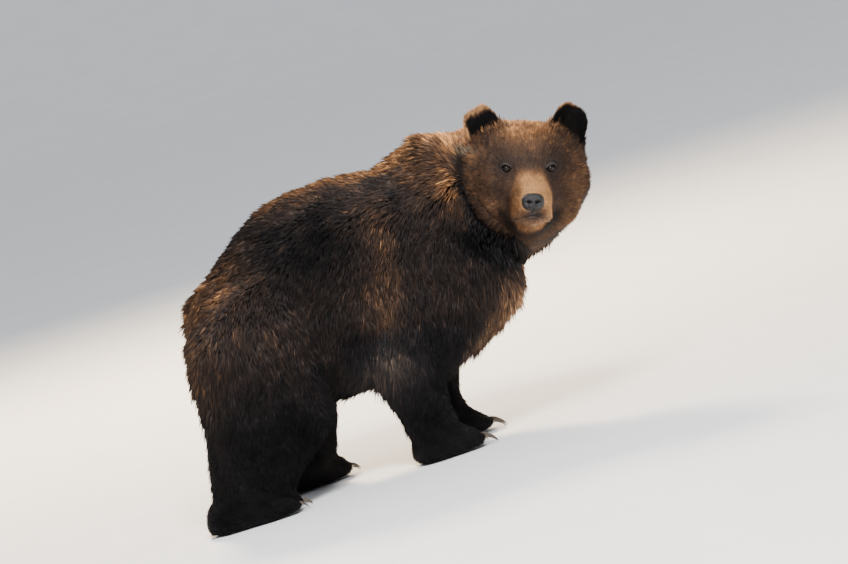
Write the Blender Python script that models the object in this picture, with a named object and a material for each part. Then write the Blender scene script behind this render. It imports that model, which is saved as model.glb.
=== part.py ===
"""A brown bear, life size, as a still model: it walks on level ground and looks back over its right shoulder.

Units are metres, +Z is up, +X is the way the body points and +Y is the bear's left. The floor is Z = 0.
Every surface here is the outside of the coat. The flesh is lofted whole, joined by a voxel remesh, and then
parted by thin cuts into the pieces that a person would name. Eyes, nose, ears, tail and claws are pieces of
their own, and each is cut back by what it grows from.
"""

import math

import bmesh
import bpy
import numpy as np
from mathutils import Matrix, Vector
from mathutils.bvhtree import BVHTree

# ---- driving dimensions ----
LEG_SPACING = 0.315  # between the middles of a left and a right foot
GAP = 0.0004  # clear space left by every cut
VOXEL = 0.012  # size of the remesh that joins the lofts
BODY_TRIANGLES = 4250  # what the joined flesh is reduced to
RING_POINTS = 28
ROUNDNESS = 2.25  # exponent of the superellipse that a section follows: 2 is an ellipse

# The head: how far it turns right of +X, how far the muzzle dips and how far the crown leans to its left.
HEAD_TURN, HEAD_NOD, HEAD_TILT = math.radians(112.4), math.radians(7), math.radians(-16)
OCCIPUT = Vector((1.193, -0.162, 0.7445))
EYE_SPACING, EYE_RADIUS = 0.1346, 0.0135
EYE_HEIGHT = 0.0872
EYE_SUNK = 0.0095  # depth of an eye's middle under the surface of the face
EAR_WIDTH, EAR_THICKNESS = 0.136, 0.046
# An ear: forward, sideways and up from the occiput, height, lean outwards and turn outwards in degrees.
EARS = {
    "ear_right": (0.030, -0.114, 0.150, 0.106, 26, 18),
    "ear_left": (0.030, 0.121, 0.152, 0.112, 20, 14),
}
# An ear from its root to its tip: share of its height, of its width and of its thickness.
EAR_SHAPE = (
    (-0.40, 1.04, 1.0),
    (0.0, 1.06, 1.0),
    (0.30, 1.03, 0.86),
    (0.58, 0.97, 0.70),
    (0.80, 0.84, 0.55),
    (0.95, 0.54, 0.42),
)
# The nose pad from its top to its foot: height, half width, reach forward and reach back.
NOSE_SHAPE = (
    (0.027, 0.014, 0.006, 0.020),
    (0.022, 0.028, 0.014, 0.022),
    (0.010, 0.0365, 0.022, 0.022),
    (-0.004, 0.0355, 0.024, 0.022),
    (-0.016, 0.027, 0.020, 0.020),
    (-0.026, 0.015, 0.012, 0.016),
)
NOSE_PLACE = (0.374, 0.008)  # forward and up from the occiput

TOES = 5
CLAW_SIDES = 6

# Colours are linear RGB, for a plain view of the solids.
COLOURS = {
    "coat_dark": (0.018, 0.014, 0.012),
    "coat_brown": (0.075, 0.040, 0.022),
    "eye": (0.010, 0.006, 0.004),
    "nose_skin": (0.030, 0.028, 0.030),
    "claw": (0.060, 0.045, 0.032),
}
ROUGHNESS = {"coat_dark": 0.85, "coat_brown": 0.85, "eye": 0.08, "nose_skin": 0.45, "claw": 0.4}

# ---- sections of the body ----
# Trunk sections from rump to chest: X, sideways place, top, bottom, half width.
TRUNK = (
    (0.060, 0.000, 0.640, 0.540, 0.055),
    (0.095, 0.000, 0.705, 0.450, 0.145),
    (0.150, 0.004, 0.734, 0.395, 0.196),
    (0.235, 0.010, 0.796, 0.335, 0.236),
    (0.360, 0.014, 0.881, 0.286, 0.260),
    (0.480, 0.016, 0.925, 0.264, 0.272),
    (0.640, 0.014, 0.930, 0.268, 0.272),
    (0.780, 0.008, 0.920, 0.274, 0.266),
    (0.860, 0.002, 0.930, 0.266, 0.260),
    (0.925, -0.004, 0.966, 0.274, 0.252),
    (1.000, -0.010, 0.972, 0.306, 0.236),
    (1.075, -0.022, 0.905, 0.352, 0.198),
    (1.122, -0.030, 0.790, 0.408, 0.140),
    (1.146, -0.032, 0.640, 0.476, 0.056),
)
# Neck sections from withers to occiput: centre, half width, height above it, depth below it.
NECK = (
    (0.900, 0.000, 0.740, 0.200, 0.205, 0.220),
    (1.010, -0.010, 0.750, 0.200, 0.210, 0.240),
    (1.100, -0.045, 0.755, 0.195, 0.200, 0.255),
    (1.155, -0.105, 0.752, 0.192, 0.200, 0.240),
    (1.183, -0.158, 0.745, 0.190, 0.198, 0.205),
)
# Head sections from occiput to nose: distance forward, half width, height above the axis, depth below it.
HEAD = (
    (-0.070, 0.170, 0.165, 0.170),
    (0.000, 0.204, 0.202, 0.196),
    (0.060, 0.212, 0.214, 0.200),
    (0.120, 0.196, 0.204, 0.190),
    (0.165, 0.165, 0.178, 0.170),
    (0.200, 0.130, 0.138, 0.144),
    (0.232, 0.094, 0.090, 0.116),
    (0.265, 0.073, 0.063, 0.096),
    (0.305, 0.065, 0.050, 0.084),
    (0.345, 0.062, 0.040, 0.076),
    (0.374, 0.051, 0.028, 0.060),
    (0.390, 0.026, 0.012, 0.036),
)
CHEEK_V = 1.45  # exponent of the cheeks' lower half, which narrows to the throat
# Swellings of the head, one a side: brow, cheek and upper lip. Forward, sideways, height, and three radii.
HEAD_PADS = (
    (0.186, 0.052, 0.118, 0.032, 0.036, 0.018),
    (0.132, 0.104, -0.034, 0.080, 0.074, 0.092),
    (0.322, 0.034, -0.040, 0.054, 0.038, 0.038),
)
# Leg sections from the trunk down: X, sideways as a share of half the leg spacing, Z, half width, and the reach
# forward and back.
LEGS = {
    "leg_hind_right": (
        (0.270, 0.55, 0.650, 0.080, 0.100, 0.110),
        (0.215, 0.84, 0.590, 0.128, 0.175, 0.165),
        (0.165, 0.97, 0.500, 0.138, 0.205, 0.205),
        (0.138, 1.00, 0.415, 0.132, 0.240, 0.198),
        (0.105, 1.02, 0.315, 0.120, 0.275, 0.156),
        (0.075, 1.03, 0.215, 0.104, 0.212, 0.132),
        (0.050, 1.03, 0.120, 0.092, 0.145, 0.132),
        (0.035, 1.03, 0.050, 0.080, 0.120, 0.125),
    ),
    "leg_hind_left": (
        (0.300, 0.55, 0.650, 0.080, 0.100, 0.110),
        (0.305, 0.84, 0.590, 0.128, 0.175, 0.180),
        (0.318, 0.95, 0.500, 0.136, 0.185, 0.190),
        (0.337, 0.98, 0.415, 0.130, 0.180, 0.185),
        (0.362, 1.00, 0.315, 0.112, 0.155, 0.155),
        (0.358, 1.00, 0.205, 0.096, 0.135, 0.130),
        (0.340, 1.00, 0.120, 0.088, 0.122, 0.122),
        (0.330, 1.00, 0.050, 0.078, 0.105, 0.110),
    ),
    "leg_front_right": (
        (0.900, 0.82, 0.740, 0.118, 0.160, 0.195),
        (0.850, 1.02, 0.585, 0.128, 0.170, 0.200),
        (0.760, 1.06, 0.450, 0.118, 0.172, 0.205),
        (0.690, 1.04, 0.350, 0.104, 0.150, 0.180),
        (0.662, 1.02, 0.270, 0.090, 0.112, 0.128),
        (0.664, 1.00, 0.190, 0.080, 0.086, 0.092),
        (0.678, 0.99, 0.110, 0.076, 0.084, 0.084),
        (0.690, 0.98, 0.050, 0.070, 0.080, 0.080),
    ),
    "leg_front_left": (
        (0.930, 0.82, 0.740, 0.118, 0.165, 0.195),
        (0.925, 0.98, 0.585, 0.126, 0.190, 0.210),
        (0.895, 1.00, 0.450, 0.112, 0.185, 0.190),
        (0.852, 0.98, 0.340, 0.096, 0.150, 0.145),
        (0.832, 0.96, 0.250, 0.085, 0.110, 0.105),
        (0.826, 0.94, 0.165, 0.078, 0.088, 0.088),
        (0.838, 0.93, 0.100, 0.075, 0.084, 0.084),
        (0.848, 0.93, 0.050, 0.070, 0.080, 0.080),
    ),
}
# Balls that round off shoulders and hips, one a side: X, sideways, Z, and three radii.
MUSCLES = (
    (0.905, 0.150, 0.640, 0.165, 0.130, 0.250),
    (0.240, 0.118, 0.580, 0.165, 0.135, 0.165),
)
# A paw: X of its heel, length, half width, sideways share, how far the toes turn outwards in degrees.
PAWS = {
    "leg_hind_right": (-0.130, 0.310, 0.080, 1.03, 8),
    "leg_hind_left": (0.200, 0.310, 0.080, 1.00, 8),
    "leg_front_right": (0.590, 0.235, 0.082, 0.98, -4),
    "leg_front_left": (0.748, 0.235, 0.082, 0.93, -4),
}
# A paw from heel to toes: how far along as a share of its length, its half width as a share of the paw's,
# and its reach above and below the paw's axis. What reaches under the floor is cut off.
PAW_SHAPE = (
    (0.00, 0.36, 0.026, 0.012),
    (0.05, 0.60, 0.056, 0.026),
    (0.14, 0.76, 0.080, 0.040),
    (0.24, 0.86, 0.092, 0.050),
    (0.42, 0.93, 0.092, 0.050),
    (0.66, 1.02, 0.070, 0.050),
    (0.80, 1.00, 0.056, 0.050),
    (0.88, 0.86, 0.044, 0.050),
)
PAW_LEVEL = 0.030  # height of a paw's axis
# Legs are parted from the trunk by an ellipsoid each: centre X, sideways, Z, and its three half axes.
LEG_CUTS = {
    "leg_hind_right": (0.120, -0.205, 0.270, 0.335, 0.195, 0.470),
    "leg_hind_left": (0.360, 0.205, 0.270, 0.320, 0.195, 0.470),
    "leg_front_right": (0.760, -0.205, 0.260, 0.300, 0.185, 0.440),
    "leg_front_left": (0.880, 0.205, 0.260, 0.260, 0.185, 0.440),
}
# Planes that part neck from trunk and head from neck: a point and the way towards the head.
NECK_CUT = (Vector((1.010, 0.000, 0.930)), Vector((0.82, -0.36, 0.45)))
HEAD_CUT = (-0.010, Vector((1.0, 0.0, 0.12)))


def head_matrix():
    """The head's own frame: +X along the muzzle, +Y to its left, +Z through its crown, from the occiput."""
    turn = Matrix.Rotation(-HEAD_TURN, 4, "Z") @ Matrix.Rotation(HEAD_NOD, 4, "Y")
    return Matrix.Translation(OCCIPUT) @ turn @ Matrix.Rotation(HEAD_TILT, 4, "X")


HEAD_FRAME = head_matrix()


# ---- tools ----
def material(name):
    found = bpy.data.materials.get(name)
    if found:
        return found
    made = bpy.data.materials.new(name)
    made.use_nodes = True
    shader = made.node_tree.nodes["Principled BSDF"]
    shader.inputs["Base Color"].default_value = (*COLOURS[name], 1.0)
    shader.inputs["Roughness"].default_value = ROUGHNESS[name]
    shader.inputs["Metallic"].default_value = 0.0
    return made


def new_object(name, mesh, coat=None):
    made = bpy.data.objects.new(name, mesh)
    bpy.context.scene.collection.objects.link(made)
    if coat:
        mesh.materials.clear()
        mesh.materials.append(material(coat))
    return made


def evaluated_mesh(obj):
    """The object's mesh with its modifiers applied."""
    bpy.context.view_layer.update()
    graph = bpy.context.evaluated_depsgraph_get()
    return bpy.data.meshes.new_from_object(obj.evaluated_get(graph))


def remove(*objects):
    for obj in objects:
        bpy.data.objects.remove(obj)


def smooth_rows(rows, steps):
    """Rows of numbers, with Catmull-Rom rows put between them."""
    rows = np.array(rows, float)
    padded = np.vstack([2 * rows[0] - rows[1], rows, 2 * rows[-1] - rows[-2]])
    made = []
    for a, b, c, d in zip(padded, padded[1:], padded[2:], padded[3:]):
        for t in np.arange(steps) / steps:
            made.append(
                b + 0.5 * t * (c - a + t * (2 * a - 5 * b + 4 * c - d + t * (3 * b - a - 3 * c + d)))
            )
    made.append(rows[-1])
    return np.array(made)


def section(centre, side, top, half_width, above, below, underside=ROUNDNESS):
    """A ring of points round a centre: a superellipse with its own reach above and below.

    The exponent of its lower half is underside: near 1 it is a V."""
    points = []
    for turn in np.arange(RING_POINTS) * 2 * math.pi / RING_POINTS:
        c, s = math.cos(turn), math.sin(turn)
        roundness = ROUNDNESS if s > 0 else underside
        across = half_width * math.copysign(abs(c) ** (2 / roundness), c)
        up = (above if s > 0 else below) * math.copysign(abs(s) ** (2 / roundness), s)
        points.append(centre + side * across + top * up)
    return points


def add_loft(bm, rings):
    """Joins rings of points into a closed tube with flat ends."""
    made = [[bm.verts.new(p) for p in ring] for ring in rings]
    for low, high in zip(made, made[1:]):
        for i in range(len(low)):
            j = (i + 1) % len(low)
            bm.faces.new((low[i], low[j], high[j], high[i]))
    bm.faces.new(reversed(made[0]))
    bm.faces.new(made[-1])


def path_rings(rows, upward, steps=4):
    """Rings square to a path. A row is a centre, a half width, a reach upward, one downward and an underside."""
    rows = smooth_rows(rows, steps)
    ways = np.gradient(rows[:, :3], axis=0)
    rings = []
    for row, way, up in zip(rows, ways, upward(len(rows))):
        way = Vector(way).normalized()
        side = Vector(up).cross(way).normalized()
        rings.append(section(Vector(row[:3]), side, way.cross(side), *row[3:]))
    return rings


def steady(direction):
    return lambda count: [direction] * count


def add_ball(bm, matrix, radii, detail=2):
    made = bmesh.ops.create_icosphere(bm, subdivisions=detail, radius=1.0)["verts"]
    bmesh.ops.transform(bm, matrix=matrix @ Matrix.Diagonal((*radii, 1.0)), verts=made)


def boolean(obj, other, operation):
    """Applies a Boolean between two objects and keeps the result on the first."""
    modifier = obj.modifiers.new("cut", "BOOLEAN")
    modifier.operation = operation
    modifier.solver = "EXACT"
    modifier.object = other
    mesh = evaluated_mesh(obj)
    obj.modifiers.clear()
    obj.data = mesh


def copy_of(obj, name):
    return new_object(name, obj.data.copy())


def swollen(obj, by):
    """A copy with its surface moved outwards, to cut a neighbour back with clear space."""
    made = copy_of(obj, "swollen")
    normals = [v.normal.copy() for v in made.data.vertices]
    for vertex, normal in zip(made.data.vertices, normals):
        vertex.co += normal * by
    return made


def cut_back(obj, host):
    """Takes what lies inside the host off the object, which keeps its largest body."""
    boolean(obj, host, "DIFFERENCE")
    keep_largest(obj)


def keep_largest(obj):
    """Drops crumbs that a cut may leave: only the body with the largest box stays."""
    bm = bmesh.new()
    bm.from_mesh(obj.data)
    left, bodies = set(bm.verts), []
    while left:
        body, todo = set(), [left.pop()]
        while todo:
            vertex = todo.pop()
            body.add(vertex)
            for edge in vertex.link_edges:
                other = edge.other_vert(vertex)
                if other in left:
                    left.remove(other)
                    todo.append(other)
        bodies.append(body)

    def spread(body):
        places = np.array([v.co for v in body])
        return float(np.linalg.norm(np.ptp(places, axis=0)))

    for body in sorted(bodies, key=spread)[:-1]:
        bmesh.ops.delete(bm, geom=list(body), context="VERTS")
    bm.to_mesh(obj.data)
    bm.free()


def half_space(point, way, size=4.0):
    """A large box whose one face lies on the plane through point, on the side that way points to."""
    bm = bmesh.new()
    bmesh.ops.create_cube(bm, size=size)
    turn = Vector((0, 0, 1)).rotation_difference(way.normalized()).to_matrix().to_4x4()
    shift = Matrix.Translation(point) @ turn @ Matrix.Translation((0, 0, size / 2))
    bmesh.ops.transform(bm, matrix=shift, verts=bm.verts)
    mesh = bpy.data.meshes.new("half_space")
    bm.to_mesh(mesh)
    bm.free()
    return new_object("half_space", mesh)


def part_by_plane(obj, point, way, near, far):
    """Parts an object by a plane into two named ones, with the gap between them."""
    way = way.normalized()
    made = []
    for name, sign in ((near, -1), (far, 1)):
        piece = copy_of(obj, name)
        keep = half_space(point + way * sign * GAP / 2, way * sign)
        boolean(piece, keep, "INTERSECT")
        remove(keep)
        keep_largest(piece)
        made.append(piece)
    remove(obj)
    return made


# ---- the flesh ----
def paw_matrix(leg):
    heel, _, _, share, splay = PAWS[leg]
    side = 1 if leg.endswith("left") else -1
    place = Vector((heel, side * share * LEG_SPACING / 2, PAW_LEVEL))
    return Matrix.Translation(place) @ Matrix.Rotation(side * math.radians(splay), 4, "Z")


def toe_places(leg):
    """Centres of the toes in the paw's own frame, on an arc across its front."""
    _, length, half_width, _, _ = PAWS[leg]
    places = []
    for i in range(TOES):
        share = i / (TOES - 1) * 2 - 1
        places.append(Vector((length * (0.905 - 0.085 * share**2), share * half_width * 0.76, 0.0)))
    return places


def add_leg(bm, leg):
    side = 1 if leg.endswith("left") else -1
    rows = [(x, side * share * LEG_SPACING / 2, z, *reach) for x, share, z, *reach in LEGS[leg]]
    add_loft(bm, path_rings(rows, steady(Vector((1, 0, 0)))))
    _, length, half_width, _, _ = PAWS[leg]
    frame = paw_matrix(leg)
    turn = frame.to_3x3()
    rows = [
        (*(frame @ Vector((along * length, 0, 0))), width * half_width, above, below)
        for along, width, above, below in PAW_SHAPE
    ]
    add_loft(bm, path_rings(rows, steady(turn @ Vector((0, 0, 1)))))
    for place in toe_places(leg):
        add_ball(bm, frame @ Matrix.Translation(place), (0.036, 0.021, 0.030))


def add_head(bm):
    rows = [(forward, 0, 0, *reach, CHEEK_V if forward < 0.22 else 2.0) for forward, *reach in HEAD]
    rings = path_rings(rows, steady(Vector((0, 0, 1))), steps=5)
    add_loft(bm, [[HEAD_FRAME @ p for p in ring] for ring in rings])
    for side in (-1, 1):
        for forward, sideways, height, *radii in HEAD_PADS:
            add_ball(bm, HEAD_FRAME @ Matrix.Translation((forward, side * sideways, height)), radii)
    chin = Matrix.Translation((0.312, 0, -0.070))
    add_ball(bm, HEAD_FRAME @ chin, (0.056, 0.038, 0.022))


def body_rows():
    rows = []
    for x, y, top, bottom, half_width in TRUNK:
        middle = bottom + 0.47 * (top - bottom)
        rows.append((x, y, middle, half_width, top - middle, middle - bottom))
    return rows


def make_flesh():
    """All flesh as one closed mesh: lofts joined by a remesh, smoothed and reduced."""
    bm = bmesh.new()
    trunk = smooth_rows(body_rows(), 4)
    along, side, up = Vector((1, 0, 0)), Vector((0, 1, 0)), Vector((0, 0, 1))
    add_loft(bm, [section(Vector(r[:3]), side, up, *r[3:6]) for r in trunk])
    for x, y, z, half_width, above, below in smooth_rows(NECK, 4):
        centre = Matrix.Translation((x, y, z + (above - below) / 2))
        add_ball(bm, centre, (half_width, half_width, (above + below) / 2), 3)
    for leg in LEGS:
        add_leg(bm, leg)
    for sign in (-1, 1):
        for x, y, z, *radii in MUSCLES:
            add_ball(bm, Matrix.Translation((x, sign * y, z)), radii, 3)
    add_head(bm)
    bmesh.ops.recalc_face_normals(bm, faces=bm.faces)
    mesh = bpy.data.meshes.new("flesh")
    bm.to_mesh(mesh)
    bm.free()
    flesh = new_object("flesh", mesh)
    remesh = flesh.modifiers.new("join", "REMESH")
    remesh.mode = "VOXEL"
    remesh.voxel_size = VOXEL
    flesh.data = evaluated_mesh(flesh)
    flesh.modifiers.clear()
    smooth_flesh(flesh)
    reduce_flesh(flesh)
    floor = half_space(Vector((0, 0, 0)), -up)
    boolean(flesh, floor, "DIFFERENCE")
    remove(floor)
    return flesh


def head_share(co):
    """1 on the face, 0 behind the ears and away from the head."""
    place = HEAD_FRAME.inverted() @ co
    if not 0.0 < place.x < 0.45 or math.hypot(place.y, place.z) > 0.26:
        return 0.0
    return min(max((place.x - 0.04) / 0.14, 0.0), 1.0)


def weigh(obj, name, head_weight, paw_weight, body_weight):
    """A vertex group that sets the head and the paws apart from the rest."""
    group = obj.vertex_groups.new(name=name)
    for vertex in obj.data.vertices:
        head = head_share(vertex.co)
        paw = min(max((0.11 - vertex.co.z) / 0.04, 0.0), 1.0)
        weight = head * head_weight + paw * paw_weight + (1 - head - paw) * body_weight
        group.add([vertex.index], weight, "REPLACE")
    return group.name


def smooth_flesh(flesh):
    """Blends the joints between lofts, the head and paws less than the rest."""
    smooth = flesh.modifiers.new("smooth", "SMOOTH")
    smooth.factor = 0.5
    smooth.iterations = 30
    smooth.vertex_group = weigh(flesh, "soft", 0.12, 0.12, 1.0)
    flesh.data = evaluated_mesh(flesh)
    flesh.modifiers.clear()
    flesh.vertex_groups.clear()


def reduce_flesh(flesh):
    """Fewer triangles, and fewest on the plain stretches of the body."""
    flesh.data.calc_loop_triangles()
    reduce = flesh.modifiers.new("reduce", "DECIMATE")
    reduce.vertex_group = weigh(flesh, "keep", 0.0, 0.6, 1.0)
    reduce.vertex_group_factor = 0.2
    reduce.ratio = BODY_TRIANGLES / len(flesh.data.loop_triangles)
    flesh.data = evaluated_mesh(flesh)
    flesh.modifiers.clear()
    flesh.vertex_groups.clear()


# ---- pieces ----
def make_ellipsoid(name, centre, radii, extra=0.0):
    bm = bmesh.new()
    bmesh.ops.create_uvsphere(bm, u_segments=24, v_segments=14, radius=1.0)
    grown = [r + extra for r in radii]
    matrix = Matrix.Translation(centre) @ Matrix.Diagonal((*grown, 1.0))
    bmesh.ops.transform(bm, matrix=matrix, verts=bm.verts)
    mesh = bpy.data.meshes.new(name)
    bm.to_mesh(mesh)
    bm.free()
    return new_object(name, mesh)


def part_legs(body):
    """Takes each leg off the body along its ellipsoid."""
    legs = []
    for leg, (x, y, z, *radii) in LEG_CUTS.items():
        inner = make_ellipsoid("leg_cutter", Vector((x, y, z)), radii)
        outer = make_ellipsoid("trunk_cutter", Vector((x, y, z)), radii, GAP)
        piece = copy_of(body, leg)
        boolean(piece, inner, "INTERSECT")
        keep_largest(piece)
        boolean(body, outer, "DIFFERENCE")
        remove(inner, outer)
        legs.append(piece)
    keep_largest(body)
    return legs


def make_ear(name):
    """A round ear as a shell with a hollow front, open forwards and a little outwards."""
    forward, sideways, height, tall, lean, turn = EARS[name]
    side = math.copysign(1, sideways)
    rings = []
    for share, width, thick in smooth_rows(EAR_SHAPE, 2):
        ring = []
        for angle in np.arange(14) * 2 * math.pi / 14:
            across = math.cos(angle)
            hollow = 0.026 * (across * width) ** 2 - 0.010 * max(share, 0)
            through = math.sin(angle) * thick * EAR_THICKNESS / 2 + hollow
            ring.append(Vector((through, across * width * EAR_WIDTH / 2, share * tall)))
        rings.append(ring)
    lean = Matrix.Rotation(-side * math.radians(lean), 4, "X")
    turn = Matrix.Rotation(side * math.radians(turn), 4, "Z")
    place = HEAD_FRAME @ Matrix.Translation((forward, sideways, height)) @ turn @ lean
    return loft_object(name, [[place @ p for p in ring] for ring in rings], "coat_brown")


def loft_object(name, rings, coat):
    bm = bmesh.new()
    add_loft(bm, rings)
    bmesh.ops.recalc_face_normals(bm, faces=bm.faces)
    mesh = bpy.data.meshes.new(name)
    bm.to_mesh(mesh)
    bm.free()
    return new_object(name, mesh, coat)


def ball_object(name, matrix, radii, coat, detail=3):
    bm = bmesh.new()
    add_ball(bm, matrix, radii, detail)
    mesh = bpy.data.meshes.new(name)
    bm.to_mesh(mesh)
    bm.free()
    return new_object(name, mesh, coat)


def make_eye(name, side, flesh):
    """An eyeball set under the face, where a line along the muzzle meets the surface."""
    ahead = HEAD_FRAME.to_3x3() @ Vector((1, 0, 0))
    start = HEAD_FRAME @ Vector((0.5, side * EYE_SPACING / 2, EYE_HEIGHT))
    faces = [p.vertices for p in flesh.data.polygons]
    tree = BVHTree.FromPolygons([v.co for v in flesh.data.vertices], faces)
    surface = tree.ray_cast(start, -ahead)[0]
    place = Matrix.Translation(surface - ahead * EYE_SUNK)
    return ball_object(name, place, (EYE_RADIUS,) * 3, "eye", 2)


def make_nose():
    """A nose pad: broad above, narrow below and rounded in front."""
    forward, height = NOSE_PLACE
    rings = []
    for up, half_width, ahead, behind in smooth_rows(NOSE_SHAPE, 2):
        ring = []
        for angle in np.arange(14) * 2 * math.pi / 14:
            reach = ahead if math.cos(angle) > 0 else behind
            point = Vector((forward + reach * math.cos(angle), half_width * math.sin(angle), height + up))
            ring.append(HEAD_FRAME @ point)
        rings.append(ring)
    return loft_object("nose", rings, "nose_skin")


def make_tail():
    rows = (
        (0.160, 0.0, 0.715, 0.030, 0.020, 0.030),
        (0.112, 0.0, 0.685, 0.036, 0.028, 0.030),
        (0.080, 0.0, 0.640, 0.032, 0.026, 0.026),
        (0.064, 0.0, 0.600, 0.022, 0.018, 0.018),
        (0.060, 0.0, 0.578, 0.008, 0.006, 0.006),
    )
    return loft_object("tail", path_rings(rows, steady(Vector((1, 0, 0.4))), steps=1), "coat_brown")


def make_claw(leg, index, place):
    """A curved claw that leaves the toe forwards and ends just above the floor."""
    front = "front" in leg
    reach = 0.062 if front else 0.045
    thick = 0.0075 if front else 0.0065
    rings = []
    for share in np.linspace(0, 1, 4):
        bend = share * math.radians(62)
        forward = 0.020 + reach * math.sin(bend) / math.radians(62)
        drop = reach * (1 - math.cos(bend)) / math.radians(62)
        centre = place + Vector((forward, 0, 0.004 - drop))
        radius = thick * (1 - 0.86 * share)
        tall = Vector((math.sin(bend), 0, math.cos(bend)))
        ring = []
        for turn in np.arange(CLAW_SIDES) * 2 * math.pi / CLAW_SIDES:
            across = Vector((0, 1, 0)) * radius * 0.8 * math.cos(turn)
            ring.append(centre + across + tall * radius * 1.25 * math.sin(turn))
        rings.append(ring)
    frame = paw_matrix(leg)
    return loft_object(f"claw_{leg[4:]}_{index + 1}", [[frame @ p for p in ring] for ring in rings], "claw")


def box_of(objects):
    places = np.array([v.co for obj in objects for v in obj.data.vertices])
    return places.min(axis=0), places.max(axis=0)


def set_down(objects):
    """Stands the bear on the floor, the origin under the middle of its box, and each piece on its own centre."""
    low, high = box_of(objects)
    shift = Vector((-(low[0] + high[0]) / 2, -(low[1] + high[1]) / 2, -low[2]))
    bear = bpy.data.objects.new("bear", None)
    bpy.context.scene.collection.objects.link(bear)
    for obj in objects:
        low, high = box_of([obj])
        centre = Vector((low + high) / 2)
        obj.data.transform(Matrix.Translation(-centre))
        obj.location = centre + shift
        obj.parent = bear


def finish(obj, coat):
    obj.data.materials.clear()
    obj.data.materials.append(material(coat))
    obj.data.shade_smooth()
    obj.data.set_sharp_from_angle(angle=math.radians(50))


def main():
    for obj in list(bpy.data.objects):
        bpy.data.objects.remove(obj)
    flesh = make_flesh()
    host = swollen(flesh, 2 * GAP)
    eyes = [make_eye(name, side, flesh) for name, side in (("eye_right", -1), ("eye_left", 1))]
    body, front = part_by_plane(flesh, *NECK_CUT, "trunk", "front")
    forward, way = HEAD_CUT
    point = HEAD_FRAME @ Vector((forward, 0, 0))
    neck, head = part_by_plane(front, point, HEAD_FRAME.to_3x3() @ way, "neck", "head")
    legs = part_legs(body)
    pieces = {"trunk": (body, "coat_brown"), "neck": (neck, "coat_brown"), "head": (head, "coat_brown")}
    pieces |= {leg.name: (leg, "coat_dark") for leg in legs}
    for eye in eyes:
        cutter = swollen(eye, GAP)
        boolean(head, cutter, "DIFFERENCE")
        remove(cutter)
        pieces[eye.name] = (eye, "eye")
    for name in EARS:
        pieces[name] = (make_ear(name), "coat_brown")
    pieces["nose"] = (make_nose(), "nose_skin")
    pieces["tail"] = (make_tail(), "coat_brown")
    for leg in legs:
        for index, place in enumerate(toe_places(leg.name)):
            claw = make_claw(leg.name, index, place)
            pieces[claw.name] = (claw, "claw")
    for name, (obj, coat) in pieces.items():
        if name.startswith(("ear", "nose", "tail", "claw")):
            cut_back(obj, host)
    remove(host)
    for obj, coat in pieces.values():
        finish(obj, coat)
    set_down([obj for obj, _ in pieces.values()])


main()
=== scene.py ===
"""A life-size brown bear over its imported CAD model: one skin, a coat of solid tufts, eyes, nose and claws.

Metres, +Z up, +X the way the body points, +Y the bear's left. Two frames of numbers are used:
- body numbers count from BODY_ZERO, under the rump on the line between the feet;
- head numbers are forward, left and up from the point midway between the eyes.
"""

import math
import bmesh
import bpy
import numpy as np
from mathutils import Matrix, Vector
from mathutils.bvhtree import BVHTree
from mathutils.kdtree import KDTree


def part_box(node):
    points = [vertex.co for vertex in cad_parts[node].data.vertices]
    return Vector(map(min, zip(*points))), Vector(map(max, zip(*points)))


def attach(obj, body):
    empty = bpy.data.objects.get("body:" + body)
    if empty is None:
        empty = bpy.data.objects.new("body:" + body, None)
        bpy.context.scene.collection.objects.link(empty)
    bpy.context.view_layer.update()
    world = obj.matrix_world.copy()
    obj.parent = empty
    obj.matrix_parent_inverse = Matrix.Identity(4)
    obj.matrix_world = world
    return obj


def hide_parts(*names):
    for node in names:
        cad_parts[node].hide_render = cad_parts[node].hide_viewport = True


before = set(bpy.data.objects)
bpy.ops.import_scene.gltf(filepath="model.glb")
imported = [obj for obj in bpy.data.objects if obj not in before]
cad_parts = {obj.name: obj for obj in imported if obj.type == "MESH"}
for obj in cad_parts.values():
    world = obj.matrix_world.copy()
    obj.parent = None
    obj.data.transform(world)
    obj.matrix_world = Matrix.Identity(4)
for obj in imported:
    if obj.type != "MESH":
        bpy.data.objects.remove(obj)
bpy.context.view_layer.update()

RANDOM = np.random.default_rng(11)

# ---- places that the CAD gives ----
BODY_ZERO = np.array([-0.6412, 0.1209, 0.0])
HEAD_TURN, HEAD_NOD, HEAD_TILT = math.radians(112.4), math.radians(7), math.radians(-16)
FLESH = ["trunk", "neck", "head", "tail", "ear_left", "ear_right"]
FLESH += ["leg_front_left", "leg_front_right", "leg_hind_left", "leg_hind_right"]
LEGS = FLESH[6:]


def middle(node):
    """The middle of a CAD node's box."""
    low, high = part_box(node)
    return (np.array(low) + np.array(high)) / 2


EYES = {side: middle("eye_" + side) for side in ("left", "right")}
EYE_RADIUS = float(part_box("eye_left")[1][2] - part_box("eye_left")[0][2]) / 2
HEAD_ZERO = (EYES["left"] + EYES["right"]) / 2
HEAD_AXES = np.array(
    Matrix.Rotation(-HEAD_TURN, 3, "Z")
    @ Matrix.Rotation(HEAD_NOD, 3, "Y")
    @ Matrix.Rotation(HEAD_TILT, 3, "X")
)

# ---- skin ----
VOXEL = 0.0085
SWELL = 0.0015  # closes the thin gaps between the flesh nodes
FACE_CUTS = ((-0.13, 0.29), (-0.03, 0.235))  # finer ahead of here, within this reach of the eyes
EYE_REACH = 0.03  # round the middle of an eye, where the skin is finest and the lids are painted
LID_OPENING = (0.0142, 0.0108)  # half width and half height of the gap between the lids
LID_THICKNESS = 0.0016
LID_HOOD = 0.004  # how much further the upper lid stands over the eye
LID_BARE = 0.0056  # no tufts within this distance of an eyeball
MOUTH_DEPTH = 0.0045
TOE_GAP = 0.0065  # half width of the groove between two toes
TOE_DEPTH = 0.009
LOWEST_SKIN = 0.0005  # above the floor

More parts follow.
